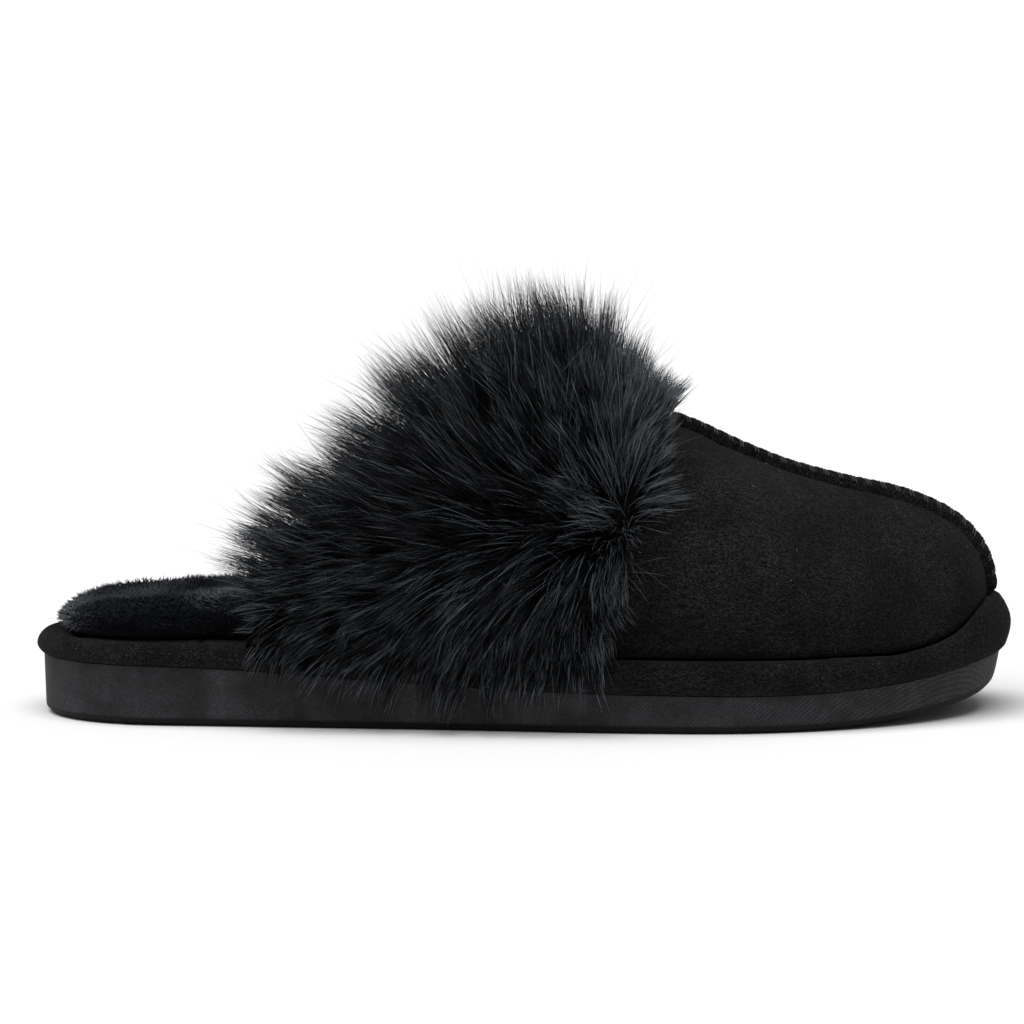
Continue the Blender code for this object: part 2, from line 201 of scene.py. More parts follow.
def product(material, first, *others):
    for other in others:
        first = sum_up(material, "MULTIPLY", first, other)
    return first


def object_place(material):
    return add_node(material, "TexCoord").outputs["Object"]


def grain(material, size, detail=3.0, roughness=0.6, stretch=None, turn=0.0):
    """Noise with blobs of about this size; stretch and turn make it directional."""
    place = object_place(material)
    if stretch is not None:
        place = add_node(
            material, "Mapping", Vector=place, Scale=stretch, Rotation=(0.0, turn, 0.0)
        ).outputs["Vector"]
    return add_node(
        material, "TexNoise", Vector=place, Scale=1 / size, Detail=detail, Roughness=roughness
    ).outputs["Fac"]


def step_up(material, value, low, high, to_low=0.0, to_high=1.0):
    """Stretches a range of values, and holds what lies outside it."""
    node = add_node(material, "MapRange", interpolation_type="SMOOTHSTEP", Value=value)
    for socket, number in zip(node.inputs[1:5], (low, high, to_low, to_high)):
        socket.default_value = number
    return node.outputs["Result"]


def blend_colours(material, share, first, second):
    """One colour at share 0, the other at share 1; either may come from a node."""
    node = add_node(material, "Mix", data_type="RGBA")
    for socket, value in ((0, share), (6, first), (7, second)):
        set_socket(material, node.inputs[socket], value)
    return node.outputs[2]


def colour_with(material, output):
    material.node_tree.links.new(output, shader_of(material).inputs["Base Color"])


def add_bump(material, height, depth, strength=1.0, under=None):
    node = add_node(material, "Bump", Height=height, Distance=depth, Strength=strength)
    if under is not None:
        set_socket(material, node.inputs["Normal"], under)
    material.node_tree.links.new(node.outputs["Normal"], shader_of(material).inputs["Normal"])
    return node.outputs["Normal"]


# %% [markdown]
# ## Rounded covers from the solids
#
# Sole, platform, footbed and vamp are moulded or padded, so the flat facets of the solids should go. Each
# gets a copy: the loose triangles are merged, joined back to four-sided faces where they are flat enough,
# and rounded by a subdivision surface. The rims of the wide flat faces above and below are creased, so that
# those faces don't pull the narrow ones of the edge inwards, and the tread with its grooves is kept as it
# is. A subdivision surface also shrinks a little from its corners, and would leave gaps between pieces. So
# the copy's corners are moved out a few times by part of what is missing, until the surface passes close to
# the solid's corners. The solid stays, hidden.

# %% Copy and round a solid
FIT_ROUNDS = 3
FIT_PULL = 0.7
FLAT_FACE = 0.93
EVEN_BEND = math.radians(14)
JOIN_BEND = math.radians(40)
JOIN_SKEW = math.radians(60)
SAME_CORNER = 0.01 * MM


def merged_copy(node_name):
    bm = bmesh.new()
    bm.from_mesh(nodes[node_name].data)
    bmesh.ops.remove_doubles(bm, verts=bm.verts, dist=SAME_CORNER)
    bmesh.ops.join_triangles(
        bm, faces=bm.faces, angle_face_threshold=JOIN_BEND, angle_shape_threshold=JOIN_SKEW
    )
    return bm


def wide_face(bm, side):
    """The wide top (side 1) or bottom (side -1): its largest face, and all that go on from it evenly."""
    level = [face for face in bm.faces if face.normal.z * side > FLAT_FACE]
    waiting = [max(level, key=lambda face: face.calc_area())]
    found = set(waiting)
    while waiting:
        for edge in waiting.pop().edges:
            even = edge.calc_face_angle(0) < EVEN_BEND
            fresh = [face for face in edge.link_faces if even and face not in found]
            found.update(fresh)
            waiting.extend(fresh)
    return found


def is_rim(edge, sharp, wide, keep_tread):
    """Whether an edge is sharper than `sharp` degrees, bounds a wide face, or lies in a kept tread."""
    inside = {face in wide for face in edge.link_faces}
    in_tread = keep_tread and any(face.normal.z < -FLAT_FACE for face in edge.link_faces)
    return edge.calc_face_angle(0) > math.radians(sharp) or len(inside) == 2 or in_tread


def shown_corners(piece, count):
    """Where the first corners of a piece lie once its modifiers have worked."""
    graph = bpy.context.evaluated_depsgraph_get()
    return corners_of(piece.evaluated_get(graph).to_mesh())[0][:count]


def rounded_copy(name, shape, levels, sharp, *materials, keep_tread=False):
    """A smooth piece through the corners of a shape; edges sharper than `sharp` degrees stay sharp."""
    shape.normal_update()
    wide = wide_face(shape, 1) | wide_face(shape, -1)
    crease = shape.edges.layers.float.new("crease_edge")
    for edge in shape.edges:
        edge[crease] = float(is_rim(edge, sharp, wide, keep_tread))
    piece = new_piece(name, mesh_of(name, shape), *materials)
    rounding = piece.modifiers.new("rounding", "SUBSURF")
    rounding.levels = levels
    rounding.render_levels = levels
    wanted = corners_of(piece.data)[0]
    cage = wanted.copy()
    for _ in range(FIT_ROUNDS):
        cage += (wanted - shown_corners(piece, len(wanted))) * FIT_PULL
        set_corners(piece.data, cage)
    missing = np.linalg.norm(wanted - shown_corners(piece, len(wanted)), axis=1)
    print(name, "misses the solid's corners by up to", round(missing.max() / MM, 2), "mm")
    finished = finished_mesh(piece)
    piece.modifiers.clear()
    piece.data = finished
    piece.data.set_sharp_from_angle(angle=math.radians(sharp))
    return piece


# %% [markdown]
# ## Foamed rubber with a twill
#
# The outsole comes out of a mould whose wall was etched with a fine twill, so its side shows a lattice of
# little diamonds about a millimetre apart, greyer where they catch the light; that grey is painted into the
# colour as highlights. The lower edge is smooth and glossy, and is painted near black as shade where it
# turns under towards the floor. The lattice could be modelled, but at this size it is relief for a bump: a
# strong and a weak set of slanted waves, added up. They run round the side, so the pattern is read from the
# length, the width and the height of the shoe. Clouds of wear and upright bands from the mould break it up.

# %% Rubber of the outsole
TWILL_PITCH = 1.1 * MM
TWILL_RISE = 1.5
TWILL_FALL = -0.9
TWILL_RELIEF = 0.16 * MM
WEAR_CLOUD = 13 * MM
MOULD_BAND = 6 * MM
FOAM_SPECKLE = 0.8 * MM
# Height of the smooth lower edge, painted near black as shade where it turns under towards the floor.
SMOOTH_SHADED_EDGE = 2.3 * MM
SMOOTH_SHADED_EDGE_SOFT = 0.5 * MM
TOE_LIFT = 7.6 * MM
TOE_LIFT_FROM = 75 * MM
TOE_LIFT_RUN = 58 * MM
# Near black of the painted shade on the lower edge.
RUBBER_EDGE_SHADE = (0.0030, 0.0030, 0.0034)
RUBBER_DARK = (0.0040, 0.0040, 0.0046)
RUBBER_LIGHT = (0.060, 0.060, 0.066)


def slanted_waves(material, along, height, slant):
    climb = sum_up(material, "MULTIPLY_ADD", height, slant, along)
    return sum_up(material, "SINE", sum_up(material, "MULTIPLY", climb, 2 * math.pi / TWILL_PITCH), 0.0)


def rubber_material():
    rubber = new_material("foamed_rubber", RUBBER_DARK, 0.62, Specular_IOR_Level=0.14)
    apart = add_node(rubber, "SeparateXYZ", Vector=object_place(rubber)).outputs
    along = sum_up(rubber, "ADD", apart["X"], sum_up(rubber, "ABSOLUTE", apart["Y"], 0.0))
    rising = slanted_waves(rubber, along, apart["Z"], TWILL_RISE)
    falling = slanted_waves(rubber, along, apart["Z"], TWILL_FALL)
    crossed = sum_up(rubber, "MULTIPLY_ADD", falling, 0.20, 0.5)
    lattice = sum_up(rubber, "MULTIPLY_ADD", rising, 0.30, crossed)
    wear = step_up(rubber, grain(rubber, WEAR_CLOUD, 5.0), 0.32, 0.70, 0.35, 1.0)
    upright = grain(rubber, MOULD_BAND, 2.0, 0.5, stretch=(1.0, 0.3, 0.08))
    bands = step_up(rubber, upright, 0.35, 0.7, 0.75, 1.0)
    speckle = step_up(rubber, grain(rubber, FOAM_SPECKLE, 3.0, 0.7), 0.38, 0.64, 0.60, 1.0)
    # Painted highlight: the raised diamonds of the twill are painted greyer, where they catch the light.
    painted_diamond_highlight = step_up(rubber, lattice, 0.15, 0.85, 0.25, 1.0)
    pattern = product(rubber, wear, bands, speckle, painted_diamond_highlight)
    past = sum_up(rubber, "MAXIMUM", sum_up(rubber, "SUBTRACT", apart["X"], TOE_LIFT_FROM), 0.0)
    lift = sum_up(rubber, "POWER", sum_up(rubber, "DIVIDE", past, TOE_LIFT_RUN), 2.0)
    above = sum_up(rubber, "MULTIPLY_ADD", lift, -TOE_LIFT, apart["Z"])
    # Painted shade: a band at the bottom of the side is painted near black, where the smooth edge turns
    # under.
    side = step_up(rubber, above, SMOOTH_SHADED_EDGE - SMOOTH_SHADED_EDGE_SOFT, SMOOTH_SHADED_EDGE + SMOOTH_SHADED_EDGE_SOFT)
    rough_side = blend_colours(rubber, pattern, RUBBER_DARK, RUBBER_LIGHT)
    colour_with(rubber, blend_colours(rubber, side, RUBBER_EDGE_SHADE, rough_side))
    add_bump(rubber, product(rubber, lattice, speckle, side), TWILL_RELIEF, 0.6)
    return rubber


sole_rubber = rubber_material()
sole = rounded_copy("moulded_outsole", merged_copy("outsole"), 2, 35, sole_rubber, keep_tread=True)
finish_piece(sole, ["outsole"])
print("twill pitch", round(TWILL_PITCH / MM, 2), "mm")

# %% [markdown]
# ## Suede
#
# Suede is leather or microfibre whose face was brushed into a short nap. It has hardly any gloss, it goes
# paler where it turns away from the eye, and the nap lies in small brushed patches with darker pits
# between them. The sheen of the shader gives the pale turn. Noise at three sizes gives the patches, the
# brushed streaks and the fine fibres, and a sparse fourth one the lint that black suede always carries. A
# ramp over the height paints shade into the colour: darker low down and paler high up, as light falls from
# above.

# %% Suede material
SUEDE_DARK = (0.0004, 0.0004, 0.0004)
SUEDE_LIGHT = (0.0306, 0.0306, 0.0298)
# Heights over which painted shade below gives way to painted light above.
PAINTED_SHADE_LOW = 22 * MM
PAINTED_SHADE_HIGH = 55 * MM
NAP_PATCH = 18 * MM
NAP_STREAK = 1.0 * MM
NAP_FIBRE = 0.42 * MM
NAP_TURN = math.radians(35)
LINT_SIZE = 0.6 * MM
LINT_SPECK = (0.075, 0.075, 0.07)


def suede_material(name, brightness=1.0):
    dark = tuple(part * brightness for part in SUEDE_DARK)
    light = tuple(part * brightness for part in SUEDE_LIGHT)
    suede = new_material(
        name,
        light,
        0.97,
        Specular_IOR_Level=0.05,
        Sheen_Weight=0.04,
        Sheen_Roughness=0.5,
        Sheen_Tint=(0.56, 0.56, 0.55, 1),
    )
    patches = step_up(suede, grain(suede, NAP_PATCH, 4.0, 0.6), 0.34, 0.66, 0.55, 1.0)
    streaks = grain(suede, NAP_STREAK, 3.0, 0.65, stretch=(0.45, 1.0, 1.0), turn=NAP_TURN)
    brushed = step_up(suede, streaks, 0.34, 0.66, 0.5, 1.0)
    fine = grain(suede, NAP_FIBRE, 3.0, 0.8, stretch=(0.6, 1.0, 1.0), turn=NAP_TURN)
    fibres = step_up(suede, fine, 0.42, 0.60, 0.12, 1.0)
    height = add_node(suede, "SeparateXYZ", Vector=object_place(suede)).outputs["Z"]
    # Painted shade: the suede is painted darker low down and paler high up, as the light from above falls.
    painted_height_shade = step_up(suede, height, PAINTED_SHADE_LOW, PAINTED_SHADE_HIGH, 0.66, 1.10)
    nap_and_shade = product(suede, patches, brushed, fibres, painted_height_shade)
    lint = step_up(suede, grain(suede, LINT_SIZE, 1.0, 0.4), 0.775, 0.82)
    colour_with(suede, blend_colours(suede, lint, blend_colours(suede, nap_and_shade, dark, light), LINT_SPECK))
    soft = add_bump(suede, streaks, 0.30 * MM, 0.55)
    add_bump(suede, fibres, 0.14 * MM, 0.8, under=soft)
    return suede


suede = suede_material("black_suede_nap")
rand_suede = suede_material("rand_suede", 1.18)
print("suede finishes:", suede.name, rand_suede.name)

# %% [markdown]
# ### Platform cover
#
# A strip of suede is wrapped over the foam and turned in at the bottom, so the rand swells a little and
# is never quite even: a slow wave of a few tenths of a millimetre along its face is enough. On top it is
# stitched down beside the vamp and the footbed, which leaves a narrow dark groove there and a soft crown
# outside it. Two rings of faces are inset into the flat top for it, and their corners are then lowered or
# raised by how far they are from the rand's edge. At the toe tip the roll is fuller.

# %% Platform cover
SIDE_BELOW = 0.35
TOP_ABOVE = 0.45
RAND_SWELL = 0.09 * MM
RAND_WAVE = 11 * MM
RAND_WAVES = ((1.0, 0.0, 1.1), (2.3, 1.4, 0.4))
GROOVE_IN = 5.3 * MM
GROOVE_HALF = 1.5 * MM
GROOVE_DEEP = 1.8 * MM
CROWN_IN = 2.6 * MM
CROWN_HIGH = 0.35 * MM
TOE_BULGE = 1.0 * MM
TOE_BULGE_FROM = 112 * MM
TOE_CROWN = 1.1 * MM
TOE_CROWN_FROM = 119 * MM


def hump(places, middle, half):
    return np.exp(-(((places - middle) / half) ** 2))


def shape_rand(mesh):
    """Swells the side of the rand, raises its crown and presses the groove inside it."""
    places, normals = corners_of(mesh)
    upward = normals[:, 2]
    seen_flat = places * [1, 1, 0]
    inward = nearest_in(tree_of_places(seen_flat[np.abs(upward) < SIDE_BELOW]), seen_flat)[1]
    at_toe = np.sqrt(np.clip((places[:, 0] - TOE_CROWN_FROM) / (cad_high.x - TOE_CROWN_FROM), 0, 1))
    raised = (CROWN_HIGH + TOE_CROWN * at_toe) * hump(inward, CROWN_IN, GROOVE_HALF)
    raised -= GROOVE_DEEP * hump(inward, GROOVE_IN, GROOVE_HALF)
    x, y = places[:, 0] / RAND_WAVE, places[:, 1] / RAND_WAVE
    waves = RAND_SWELL * sum(np.sin(x * along + y * across + start) for along, across, start in RAND_WAVES)
    bulge = TOE_BULGE * np.clip((places[:, 0] - TOE_BULGE_FROM) / (cad_high.x - TOE_BULGE_FROM), 0, 1)
    moved = places + normals * ((waves + bulge) * (1 - upward**2))[:, None]
    moved[:, 2] += raised * (upward > TOP_ABOVE)
    set_corners(mesh, moved)


def rand_shape():
    bm = merged_copy("platform")
    for _ in range(2):
        bm.normal_update()
        bmesh.ops.inset_region(
            bm, faces=list(wide_face(bm, 1)), thickness=GROOVE_HALF, use_even_offset=True
        )
    return bm


platform_cover = rounded_copy("platform_cover", rand_shape(), 2, 45, rand_suede)
shape_rand(platform_cover.data)
finish_piece(platform_cover, ["platform"])

# %% [markdown]
# ## Plush
#
# The footbed and the lining are knitted with a short dense pile. Real tufts are added further down; the
# cloth below them only has to be dark, blue-black and a little uneven, so that no bare base shows through.

# %% Plush material
PLUSH_DARK = (0.0016, 0.0019, 0.0028)
PLUSH_LIGHT = (0.0055, 0.0062, 0.0080)
PLUSH_CLOUD = 9 * MM
PLUSH_KNIT = 1.1 * MM
PLUSH_RELIEF = 0.8 * MM


def plush_material():
    plush = new_material("plush_ground", PLUSH_DARK, 0.97, Specular_IOR_Level=0.05, Sheen_Weight=0.02)
    clouds = step_up(plush, grain(plush, PLUSH_CLOUD, 4.0), 0.35, 0.7)
    colour_with(plush, blend_colours(plush, clouds, PLUSH_DARK, PLUSH_LIGHT))
    add_bump(plush, grain(plush, PLUSH_KNIT, 3.0, 0.7), PLUSH_RELIEF, 0.8)
    return plush


plush = plush_material()
print("plush finish:", plush.name)

# %% [markdown]
# ### Footbed
#
# The footbed is a thin cushion that is worn into a shallow dish where the heel presses. It is rounded like
# the rand, and puffed up a little more than the solid, with its round end drawn in. The dish is a smooth
# hollow two millimetres deep, pressed into its upper face.

# %% Footbed
HEEL_DISH = 2.0 * MM
HEEL_DISH_AT = 40 * MM
HEEL_DISH_LENGTH = 30 * MM
HEEL_DISH_WIDTH = 20 * MM
FOOTBED_PUFF = 1.5 * MM
FOOTBED_PUFF_ABOVE = 6 * MM
FOOTBED_PUFF_FROM = 14 * MM
FOOTBED_DRAWN_IN = 1.8 * MM
FOOTBED_DRAWN_OVER = 8 * MM
footbed_low, footbed_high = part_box("insole")


def shape_footbed(mesh):
    places, normals = corners_of(mesh)
    from_end = places[:, 0] - footbed_low.x
    height = np.clip((places[:, 2] - footbed_low.z) / FOOTBED_PUFF_ABOVE, 0, 1)
    dish = hump(from_end, HEEL_DISH_AT, HEEL_DISH_LENGTH) * hump(places[:, 1], 0.0, HEEL_DISH_WIDTH)
    places[:, 2] -= HEEL_DISH * dish * (normals[:, 2] > 0.5)
    places[:, 2] += FOOTBED_PUFF * height * np.clip(from_end / FOOTBED_PUFF_FROM, 0, 1)
    places[:, 0] += FOOTBED_DRAWN_IN * hump(from_end, 0.0, FOOTBED_DRAWN_OVER)
    set_corners(mesh, places)


footbed = rounded_copy("footbed", merged_copy("insole"), 2, 70, plush)
shape_footbed(footbed.data)
finish_piece(footbed, ["insole"])

# %% [markdown]
# ## The line of the seam
#
# The seam is one upright fin that runs from the cuff over the toes down to the rand. To place anything
# along it, its middle line is needed. The fin lies roughly on an arc round a point under the ball of the
# foot, so its corners are sorted by their angle round that point, averaged in narrow slices, smoothed,
# and walked at even steps. The angle is only used for sorting: all sizes are read from the solid itself.

# %% Middle line of the seam
SEAM_EYE = np.array([40 * MM, 0.0, 10 * MM])
SEAM_SLICES = 64
SEAM_OVERLAP = 0.01
SEAM_SMOOTHINGS = 4
SEAM_STEP = 0.2 * MM


def seam_line():
    """Distances, points, runs and outward directions along the middle of the fin, at even steps."""
    corners = np.array([vert.co for vert in nodes["centre_seam"].data.vertices])
    spread = corners - SEAM_EYE
    angle = np.arctan2(spread[:, 2], spread[:, 0])
    edges = np.linspace(angle.max(), angle.min(), SEAM_SLICES + 1)
    middles = []
    for high, low in zip(edges[:-1], edges[1:]):
        inside = (angle <= high + SEAM_OVERLAP) & (angle >= low - SEAM_OVERLAP)
        if inside.any():
            middles.append(corners[inside].mean(axis=0))
    line = np.array(middles)
    for _ in range(SEAM_SMOOTHINGS):
        line[1:-1] = (line[:-2] + 2 * line[1:-1] + line[2:]) / 4
    lengths = np.concatenate([[0], np.cumsum(np.linalg.norm(np.diff(line, axis=0), axis=1))])
    steps = np.arange(0, lengths[-1], SEAM_STEP)
    line = np.stack([np.interp(steps, lengths, line[:, axis]) for axis in range(3)], axis=1)
    run = unit(np.gradient(line, axis=0))
    outward = (line - SEAM_EYE) * np.array([1.0, 0.0, 1.0])
    outward = unit(outward - run * (outward * run).sum(axis=1)[:, None])
    return steps, line, run, outward


seam_at, seam_middle, seam_run, seam_out = seam_line()
seam_places = tree_of_places(seam_middle)
print("seam length:", round(seam_at[-1] / MM, 1), "mm")

# %% [markdown]
# ## Vamp
#
# The vamp is two suede panels over a plush lining. Its rounded copy gets suede on the outside and plush
# inside, told apart by whether a face looks away from the middle of the foot. Then come the creases. The
# two panels are drawn in along the raised seam, which leaves a narrow channel on each side of it, and a
# few wide soft folds run down from there. Each fold is one row of a table in the shoe's own sizes,
# pressed into the outer face as a smooth hollow.

# %% Vamp copy
FOOT_AXIS_HEIGHT = 34 * MM
FOOT_AXIS_END = 95 * MM
LEANS_IN = -0.3


def looks_out(places, normals):
    """Which places on the upper look away from the foot's own axis."""
    from_axis = places.copy()
    from_axis[:, 0] = np.maximum(places[:, 0] - FOOT_AXIS_END, 0)
    from_axis[:, 2] = np.maximum(places[:, 2] - FOOT_AXIS_HEIGHT, 0)
    return (normals * from_axis).sum(axis=1) > LEANS_IN * np.linalg.norm(from_axis, axis=1)


vamp = rounded_copy("vamp", merged_copy("upper"), 2, 50, suede, plush)
inner_faces = (~looks_out(*faces_of(vamp.data))).astype(np.int32)
vamp.data.polygons.foreach_set("material_index", inner_faces)
print("faces of the lining:", int(inner_faces.sum()))

# %% Creases
CREASES = (
    # along, height, length and width of each fold in mm, its slant from upright in degrees, and its depth
    (52, 60, 20, 3.0, 6, 1.1),
    (60, 40, 20, 5.0, 14, 0.9),
    (78, 50, 17, 6.5, 36, 1.0),
    (97, 42, 15, 5.0, 22, 0.8),
    (109, 34, 12, 4.0, 42, 0.7),
    (72, 36, 22, 4.0, 74, 0.8),
)
CREASE_ENDS = 1.6
CHANNEL_AWAY = 2.9 * MM
CHANNEL_WIDTH = 1.0 * MM
CHANNEL_DEPTH = 0.25 * MM


def crease_depth(places):
    """Depth in metres of the folds at places on the side of the vamp."""
    depth = np.zeros(len(places))
    for middle, height, long, wide, slant, deep in CREASES:
        x, z = places[:, 0] / MM - middle, places[:, 2] / MM - height
        cosine, sine = math.cos(math.radians(slant)), math.sin(math.radians(slant))
        along, across = z * cosine + x * sine, x * cosine - z * sine
        depth += deep * np.exp(-((along / long * CREASE_ENDS) ** 2) - (across / wide) ** 2) * MM
    return depth


def channel_depth(places):
    """Depth in metres of the channels beside the seam."""
    return CHANNEL_DEPTH * hump(nearest_in(seam_places, places)[1], CHANNEL_AWAY, CHANNEL_WIDTH)


def press_creases(mesh):
    places, normals = corners_of(mesh)
    depth = (crease_depth(places) + channel_depth(places)) * looks_out(places, normals)
    set_corners(mesh, places - normals * depth[:, None])
    print("deepest crease:", round(depth.max() / MM, 2), "mm")


press_creases(vamp.data)
finish_piece(vamp, ["upper"])

# %% [markdown]
# ### Fin with its scallops
#
# Each pair of stitches pulls the two suede edges together, so the top of the fin dips at every pair and
# swells between them. The fin is a finely divided copy of its solid; each corner looks up how far along
# the seam it is and is drawn a little towards the middle line where a pair of stitches sits. The foot of
# the fin is let down into the channel between the panels, as the real one grows out of them, and its
# lower end is drawn down to the rand.

# %% Seam fin
STITCH_PITCH = 4.1 * MM
PINCH = 0.22
FIN_CUTS = 5
FIN_SMOOTHING = 0.4
FIN_ROUND = 1.2 * MM
FIN_FOOT = 1.2 * MM
FIN_FOOT_FROM = 0.5 * MM
FIN_END_FROM = 122 * MM
FIN_DROP = 1.1 * MM
FIN_DROP_OVER = 8 * MM
STITCH_COUNT = int(seam_at[-1] / STITCH_PITCH) - 1


def shape_fin(mesh):
    places, _ = corners_of(mesh)
    nearest = nearest_in(seam_places, places)[0]
    at_pair = np.cos(math.pi * seam_at[nearest] / STITCH_PITCH) ** 2
    from_middle = places - seam_middle[nearest]
    rise = (from_middle * seam_out[nearest]).sum(axis=1)
    foot = FIN_FOOT * (rise < -FIN_FOOT_FROM)
    places = places - from_middle * (PINCH * at_pair)[:, None] - seam_out[nearest] * foot[:, None]
    lowest = places[:, 2].min()
    near_end = np.clip(1 - (places[:, 2] - lowest) / FIN_DROP_OVER, 0, 1) * (places[:, 0] > FIN_END_FROM)
    places[:, 2] -= FIN_DROP * near_end
    set_corners(mesh, places)


def round_toe_end(bm):
    """Bevels the rim of the end face above the rand."""
    bm.normal_update()
    end = [face for face in bm.faces if face.normal.z < -0.7 and face.calc_center_median().x > FIN_END_FROM]
    edges = {edge for face in end for edge in face.edges}
    rim = [edge for edge in edges if sum(face in end for face in edge.link_faces) == 1]
    bmesh.ops.bevel(bm, geom=rim, offset=FIN_ROUND, segments=3, profile=0.5, affect="EDGES", material=-1)
    print("rounded edges at the toe end:", len(rim))


fin_shape = merged_copy("centre_seam")
round_toe_end(fin_shape)
bmesh.ops.subdivide_edges(fin_shape, edges=fin_shape.edges, cuts=FIN_CUTS, use_grid_fill=True)
axes = {"use_axis_x": True, "use_axis_y": True, "use_axis_z": True}
bmesh.ops.smooth_vert(fin_shape, verts=fin_shape.verts, factor=FIN_SMOOTHING, **axes)
fin = new_piece("seam_fin", mesh_of("seam_fin", fin_shape), suede)
shape_fin(fin.data)
finish_piece(fin, ["centre_seam"])

# %% [markdown]
# ### Stitches
#
# A waxed grey thread goes over the fin in slanted pairs. Each stitch is a short curve with a round bevel:
# its points are found by looking at the fin from outside, at several angles round its middle line, and
# resting the thread on the first suede that is met. That way it follows the fin whatever its section.

# %% Stitch threads
THREAD_RADIUS = 0.2 * MM
THREAD_TWIST = 0.5 * MM
THREAD_PROUD = 0.2
STITCH_SLANT = 1.3 * MM
PAIR_GAP = 0.8 * MM
STITCH_REACH = 8 * MM
STITCH_STEPS = 4
STITCH_STEP_ANGLE = 22
STITCH_LEAST = 6
THREAD_DARK = (0.020, 0.021, 0.023)
THREAD_LIGHT = (0.062, 0.064, 0.068)
thread_grey = new_material("waxed_thread", THREAD_DARK, 0.55, Specular_IOR_Level=0.3)
twist = step_up(thread_grey, grain(thread_grey, THREAD_TWIST, 2.0), 0.35, 0.65)
colour_with(thread_grey, blend_colours(thread_grey, twist, THREAD_DARK, THREAD_LIGHT))


def stitch_points(along, fin_tree):
    """A row of points over the fin, from low on one side to low on the other."""
    points = []
    for turn in range(-STITCH_STEPS, STITCH_STEPS + 1):
        angle = math.radians(turn * STITCH_STEP_ANGLE)
        slanted = along + STITCH_SLANT * (abs(turn) / STITCH_STEPS - 0.5)
        index = min(max(round(slanted / SEAM_STEP), 0), len(seam_middle) - 1)
        middle, run, outward = (Vector(rows[index]) for rows in (seam_middle, seam_run, seam_out))
        away = outward * math.cos(angle) + run.cross(outward) * math.sin(angle)
        hit = fin_tree.ray_cast(middle + away * STITCH_REACH, -away, STITCH_REACH)[0]
        if hit is not None:
            points.append(hit + away * THREAD_RADIUS * THREAD_PROUD)
    return points


def tree_of(piece):
    bm = bmesh.new()
    bm.from_mesh(piece.data)
    tree = BVHTree.FromBMesh(bm)
    bm.free()
    return tree


fin_tree = tree_of(fin)
stitch_rows = []
for number in range(STITCH_COUNT):
    for offset in (-PAIR_GAP / 2, PAIR_GAP / 2):
        row = stitch_points((number + 1) * STITCH_PITCH + offset, fin_tree)
        if len(row) > STITCH_LEAST:
            stitch_rows.append(row)
print("stitches:", len(stitch_rows))


# %% Threads as one piece
def thread_piece(name, rows, radius, material):
    """Many short round threads: a curve with a bevel, turned into a mesh."""
    curve = bpy.data.curves.new(name, "CURVE")
    curve.dimensions = "3D"
    curve.bevel_depth = radius
    curve.bevel_resolution = 0
    curve.use_fill_caps = True
    for row in rows:
        spline = curve.splines.new("POLY")
        spline.points.add(len(row) - 1)
        for point, place in zip(spline.points, row):
            point.co = (*place, 1)
    maker = bpy.data.objects.new(name + "_maker", curve)
    bpy.context.scene.collection.objects.link(maker)
    mesh = finished_mesh(maker)
    bpy.data.objects.remove(maker)
    mesh.shade_smooth()
    return new_piece(name, mesh, material)


stitches = thread_piece("seam_stitches", stitch_rows, THREAD_RADIUS, thread_grey)
finish_piece(stitches)

# %% [markdown]
# ## Planting hair and pile
#
# Fur, plush and lint are all the same job: one small closed spike, repeated thousands of times with its
# own root, direction, length and bend. The spike starts as a cone with three sides, cut across a few
# times so that it can curve. Arrays then place all copies at once: a point at a share t of the way up
# sits at root + direction * length * t + bend * t squared. A tone is stored with every hair, so the
# material can make a few hairs paler than the rest. In the pile the tone also holds painted sheen, and in
# the fur its pale hairs are painted highlights, glints of light on single hairs.


# %% Spike and planting
HAIR_FULLNESS = 2.5
ASKEW = np.array([0.31, 0.87, 0.38])


def spike(cuts):
    """Corners and triangles of one closed spike of length 1 and radius 1."""
    bm = bmesh.new()
    bmesh.ops.create_cone(bm, cap_ends=True, segments=3, radius1=1, radius2=0, depth=1)
    bmesh.ops.translate(bm, verts=bm.verts, vec=(0, 0, 0.5))
    bmesh.ops.remove_doubles(bm, verts=bm.verts, dist=0.0001)
    for cut in cuts:
        whole = bm.verts[:] + bm.edges[:] + bm.faces[:]
        bmesh.ops.bisect_plane(bm, geom=whole, plane_co=(0, 0, cut), plane_no=(0, 0, 1))
    bmesh.ops.triangulate(bm, faces=bm.faces)
    bm.verts.index_update()
    corners = np.array([vert.co for vert in bm.verts])
    triangles = np.array([[vert.index for vert in face.verts] for face in bm.faces])
    bm.free()
    return corners, triangles


def hair_rows(root, way, length, bend, wide, tone_and_sheen):
    """All that is known of some hairs: one row of each array for each hair."""
    return {"root": root, "way": way, "length": length, "bend": bend, "wide": wide, "tone_and_sheen": tone_and_sheen}


def planted_corners(hairs, corners, radius):
    """Where all corners of all hairs lie: one row of corners for each hair."""
    share = corners[:, 2]
    thick = (1 - share**HAIR_FULLNESS) / np.maximum(1 - share, 1e-6) * radius
    way = hairs["way"]
    side = unit(np.cross(way, ASKEW))
    other = np.cross(way, side)
    wide = hairs["wide"][:, None, None]
    places = hairs["root"][:, None] + way[:, None] * hairs["length"][:, None, None] * share[None, :, None]
    places = places + hairs["bend"][:, None] * (share**2)[None, :, None]
    places = places + side[:, None] * (corners[:, 0] * thick)[None, :, None] * wide
    return places + other[:, None] * (corners[:, 1] * thick)[None, :, None] * wide


